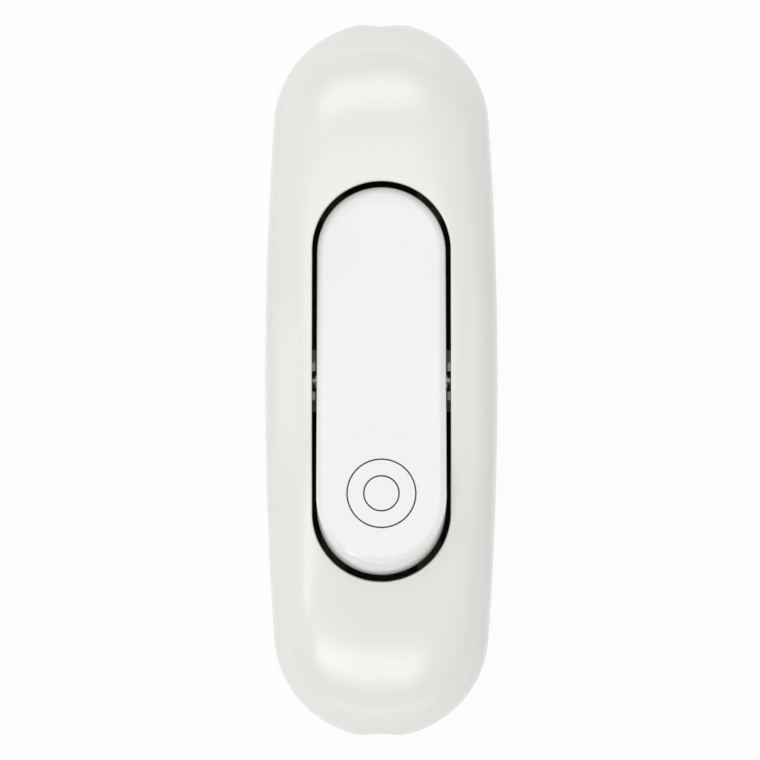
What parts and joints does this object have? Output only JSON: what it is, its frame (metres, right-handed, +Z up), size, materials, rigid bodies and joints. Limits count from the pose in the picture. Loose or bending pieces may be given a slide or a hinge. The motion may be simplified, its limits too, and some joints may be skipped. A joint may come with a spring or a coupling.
{
  "type": "inline cord switch",
  "caption": "Pebble-shaped white inline cord switch with a long see-saw rocker, cord entries at both ends and its switching parts inside.",
  "frame": {"origin": "middle of the flat base", "axes": "+Z up out of the rocker side, Y along the cord with the ringed end of the rocker at -Y, X across"},
  "size_m": [0.0284, 0.088, 0.0251],
  "materials": {
    "casing_plastic": "polished white moulded plastic",
    "rocker_plastic": "polished white moulded plastic",
    "inner_plastic": "plain moulded",
    "brass": "bright stamped",
    "steel": "zinc plated",
    "contact_silver": "plain"
  },
  "bodies": {
    "casing": {"upper_casing": "casing_plastic", "lower_casing": "casing_plastic", "rocker_cradle": "inner_plastic", "fulcrum_pin": "brass", "fulcrum_terminal": "brass", "fixed_terminal": "brass", "fixed_contact": "contact_silver", "neutral_bar": "brass", "terminal_block_neutral_front": "brass", "terminal_block_neutral_rear": "brass", "terminal_block_live_front": "brass", "terminal_block_live_rear": "brass", "terminal_screws": "steel", "cord_clamp_front": "inner_plastic", "cord_clamp_rear": "inner_plastic", "clamp_screws": "steel", "casing_screws": "steel", "casing_inserts": "brass"},
    "rocker": {"rocker_button": "rocker_plastic", "pivot_pin_left": "steel", "pivot_pin_right": "steel", "plunger_spring": "steel"},
    "plunger": {"plunger": "inner_plastic"},
    "bridge": {"contact_bridge": "brass", "moving_contact": "contact_silver"}
  },
  "joints": [
    {"name": "rocker_tilt", "type": "hinge", "parent": "casing", "child": "rocker", "pos_m": [0, 0, 0.0154], "axis": [1, 0, 0], "range_deg": [0, 20]},
    {"name": "plunger_slide", "type": "slide", "parent": "rocker", "child": "plunger", "axis": [0, 0.1736, 0.9848], "range_m": [0, 0.0008], "stiffness_N_per_m": 150, "springref_m": -0.0015, "deforming": ["plunger_spring"]},
    {"name": "bridge_rock", "type": "hinge", "parent": "casing", "child": "bridge", "pos_m": [0, 0, 0.0061], "axis": [1, 0, 0], "range_deg": [-16, 0]}
  ],
  "couplings": [
    {"joint": "bridge_rock", "follows": "rocker_tilt", "ratio": -0.8}
  ]
}
